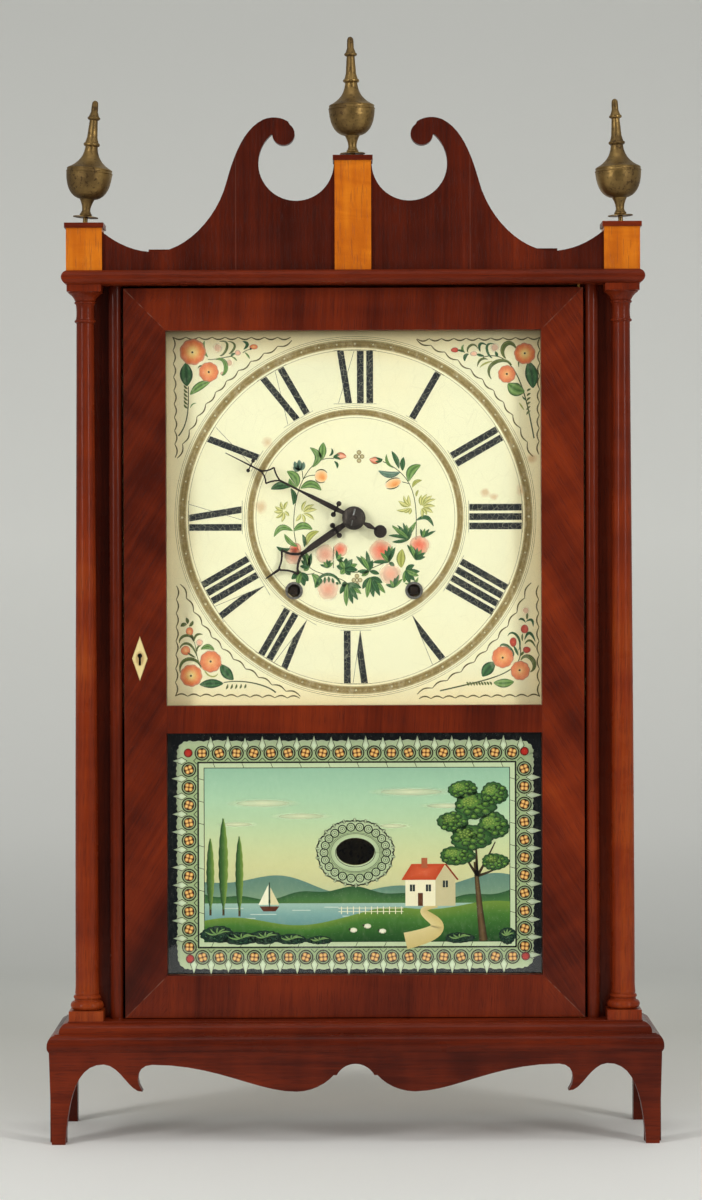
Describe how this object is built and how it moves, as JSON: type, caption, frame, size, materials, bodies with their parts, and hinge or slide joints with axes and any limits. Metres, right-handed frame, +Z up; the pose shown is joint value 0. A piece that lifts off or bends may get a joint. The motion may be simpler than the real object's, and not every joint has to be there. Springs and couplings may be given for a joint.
{
  "type": "pillar and scroll clock",
  "caption": "Shelf clock with a scrolled crest, turned pillars, urn finials, bracket feet, hinged glazed door, painted dial and a weight-driven striking movement",
  "frame": {"origin": "centre of the bounding box at the floor, under the feet", "axes": "+Z up along the height, -Y to the front where the dial faces, +X to the right as seen from the front"},
  "size_m": [0.4368, 0.1219, 0.7875],
  "materials": {
    "mahogany": "french polished",
    "satinwood": "polished",
    "pine": "planed",
    "cherry": "turned and cut, unpolished",
    "dial": "painted",
    "antique_brass": "tarnished",
    "brass": "dull",
    "steel": "dull",
    "blued_steel": "black",
    "iron": "as cast",
    "window_glass": "clear",
    "painted_glass": "painted on the back",
    "ivory": "polished",
    "flax": "twisted"
  },
  "bodies": {
    "case": {"case_sides": "mahogany", "back_board": "pine", "cornice": "mahogany", "base_moulding": "mahogany", "front_apron": "mahogany", "side_aprons": "mahogany", "front_stiles": "mahogany", "crest_scrolls": "mahogany", "glue_blocks": "pine", "plinths": "satinwood", "plinth_caps": "mahogany", "finials": "antique_brass", "pillars": "mahogany", "dial_board": "dial", "winding_bushes": "iron", "case_hinge_leaves": "brass", "movement_rails": "pine", "front_plate": "cherry", "back_plate": "cherry", "plate_posts": "cherry", "suspension_cock": "brass", "bell": "brass", "cord_leads": "flax", "pulley_brackets": "iron", "time_cord": "flax", "strike_cord": "flax"},
    "door": {"door_stile_left": "mahogany", "door_stile_right": "mahogany", "door_rails": "mahogany", "dial_glass": "window_glass", "tablet_glass": "painted_glass", "glazing_strips": "pine", "escutcheon": "ivory", "lock_case": "brass", "door_hinge_pins": "brass"},
    "bolt": {"lock_bolt": "steel"},
    "minute": {"minute_hand": "blued_steel", "cannon_pinion": "cherry"},
    "motion": {"minute_wheel": "cherry"},
    "hour": {"hour_hand": "blued_steel", "hour_wheel": "cherry"},
    "time_great": {"time_great_wheel": "cherry"},
    "time_click": {"time_click": "steel"},
    "centre": {"centre_wheel": "cherry"},
    "third": {"third_wheel": "cherry"},
    "escape": {"escape_wheel": "brass"},
    "time_drum": {"time_drum": "cherry"},
    "time_weight": {"time_weight": "iron"},
    "time_pulley": {"time_pulley": "cherry"},
    "strike_great": {"strike_great_wheel": "cherry"},
    "strike_click": {"strike_click": "steel"},
    "pins": {"pin_wheel": "cherry"},
    "warning": {"warning_wheel": "cherry"},
    "fly": {"fly": "cherry"},
    "strike_drum": {"strike_drum": "cherry"},
    "strike_weight": {"strike_weight": "iron"},
    "strike_pulley": {"strike_pulley": "cherry"},
    "verge": {"verge": "steel"},
    "pendulum": {"pendulum": "antique_brass"},
    "hammer": {"hammer": "steel"}
  },
  "joints": [
    {"name": "door_swing", "type": "hinge", "parent": "case", "child": "door", "pos_m": [0.1614, -0.0288, 0.3481], "axis": [0, 0, 1], "range_deg": [0, 110]},
    {"name": "bolt_throw", "type": "slide", "parent": "door", "child": "bolt", "axis": [-1, 0, 0], "range_m": [0, 0.005]},
    {"name": "minute_turn", "type": "hinge", "parent": "case", "child": "minute", "pos_m": [0, -0.018, 0.44355], "axis": [0, 1, 0], "continuous": true},
    {"name": "motion_turn", "type": "hinge", "parent": "case", "child": "motion", "pos_m": [0, 0, 0.46755], "axis": [0, 1, 0], "continuous": true},
    {"name": "hour_turn", "type": "hinge", "parent": "case", "child": "hour", "pos_m": [0, -0.01, 0.44355], "axis": [0, 1, 0], "continuous": true},
    {"name": "escape_turn", "type": "hinge", "parent": "case", "child": "escape", "pos_m": [0, 0.02, 0.50313], "axis": [0, 1, 0], "continuous": true},
    {"name": "third_turn", "type": "hinge", "parent": "case", "child": "third", "pos_m": [0.0187, 0.02, 0.47594], "axis": [0, 1, 0], "continuous": true},
    {"name": "centre_turn", "type": "hinge", "parent": "case", "child": "centre", "pos_m": [0, 0.02, 0.44355], "axis": [0, 1, 0], "continuous": true},
    {"name": "time_great_turn", "type": "hinge", "parent": "case", "child": "time_great", "pos_m": [0.0433, 0.02, 0.39135], "axis": [0, 1, 0], "continuous": true},
    {"name": "time_click_lift", "type": "hinge", "parent": "time_great", "child": "time_click", "pos_m": [0.06505, 0.02, 0.40149], "axis": [0, -1, 0], "range_deg": [-9, 0]},
    {"name": "fly_turn", "type": "hinge", "parent": "case", "child": "fly", "pos_m": [-0.04984, 0.02, 0.50348], "axis": [0, 1, 0], "continuous": true},
    {"name": "warning_turn", "type": "hinge", "parent": "case", "child": "warning", "pos_m": [-0.06199, 0.02, 0.48244], "axis": [0, 1, 0], "continuous": true},
    {"name": "pins_turn", "type": "hinge", "parent": "case", "child": "pins", "pos_m": [-0.06997, 0.02, 0.45042], "axis": [0, 1, 0], "continuous": true},
    {"name": "strike_great_turn", "type": "hinge", "parent": "case", "child": "strike_great", "pos_m": [-0.0433, 0.02, 0.39135], "axis": [0, 1, 0], "continuous": true},
    {"name": "strike_click_lift", "type": "hinge", "parent": "strike_great", "child": "strike_click", "pos_m": [-0.06505, 0.02, 0.40149], "axis": [0, 1, 0], "range_deg": [-9, 0]},
    {"name": "time_weight_lift", "type": "slide", "parent": "case", "child": "time_weight", "axis": [0, 0, 1], "range_m": [0, 0.33], "deforming": ["time_cord"]},
    {"name": "time_drum_turn", "type": "hinge", "parent": "case", "child": "time_drum", "pos_m": [0.0433, 0.02, 0.39135], "axis": [0, 1, 0], "range_deg": [0, 1007]},
    {"name": "time_pulley_turn", "type": "hinge", "parent": "case", "child": "time_pulley", "pos_m": [0.13013, 0.0244, 0.5849], "axis": [0, 1, 0], "range_deg": [-1745, 0]},
    {"name": "strike_weight_lift", "type": "slide", "parent": "case", "child": "strike_weight", "axis": [0, 0, 1], "range_m": [0, 0.33], "deforming": ["strike_cord"]},
    {"name": "strike_drum_turn", "type": "hinge", "parent": "case", "child": "strike_drum", "pos_m": [-0.0433, 0.02, 0.39135], "axis": [0, 1, 0], "range_deg": [-870, 0]},
    {"name": "strike_pulley_turn", "type": "hinge", "parent": "case", "child": "strike_pulley", "pos_m": [-0.13013, 0.0266, 0.5849], "axis": [0, 1, 0], "range_deg": [0, 1745]},
    {"name": "pendulum_swing", "type": "hinge", "parent": "case", "child": "pendulum", "pos_m": [0, 0.0484, 0.52813], "axis": [0, 1, 0], "range_deg": [-4, 4]},
    {"name": "verge_rock", "type": "hinge", "parent": "case", "child": "verge", "pos_m": [0, 0.033, 0.52813], "axis": [0, 1, 0], "range_deg": [-4, 4]},
    {"name": "hammer_lift", "type": "hinge", "parent": "case", "child": "hammer", "pos_m": [-0.035, 0.02, 0.45805], "axis": [0, -1, 0], "range_deg": [0, 9], "stiffness_Nm_per_rad": 0.02, "springref_deg": -34.38}
  ],
  "couplings": [
    {"joint": "motion_turn", "follows": "minute_turn", "ratio": -0.33333},
    {"joint": "hour_turn", "follows": "minute_turn", "ratio": 0.083333},
    {"joint": "third_turn", "follows": "escape_turn", "ratio": -0.1},
    {"joint": "centre_turn", "follows": "escape_turn", "ratio": 0.013333},
    {"joint": "time_great_turn", "follows": "escape_turn", "ratio": -0.0013008},
    {"joint": "warning_turn", "follows": "pins_turn", "ratio": -10},
    {"joint": "fly_turn", "follows": "pins_turn", "ratio": 80},
    {"joint": "strike_great_turn", "follows": "pins_turn", "ratio": -0.10256},
    {"joint": "time_drum_turn", "follows": "time_weight_lift", "rad_per_m": 52.994},
    {"joint": "time_pulley_turn", "follows": "time_weight_lift", "rad_per_m": -91.996},
    {"joint": "strike_drum_turn", "follows": "strike_weight_lift", "rad_per_m": -45.725},
    {"joint": "strike_pulley_turn", "follows": "strike_weight_lift", "rad_per_m": 91.996},
    {"joint": "verge_rock", "follows": "pendulum_swing", "ratio": 1}
  ]
}
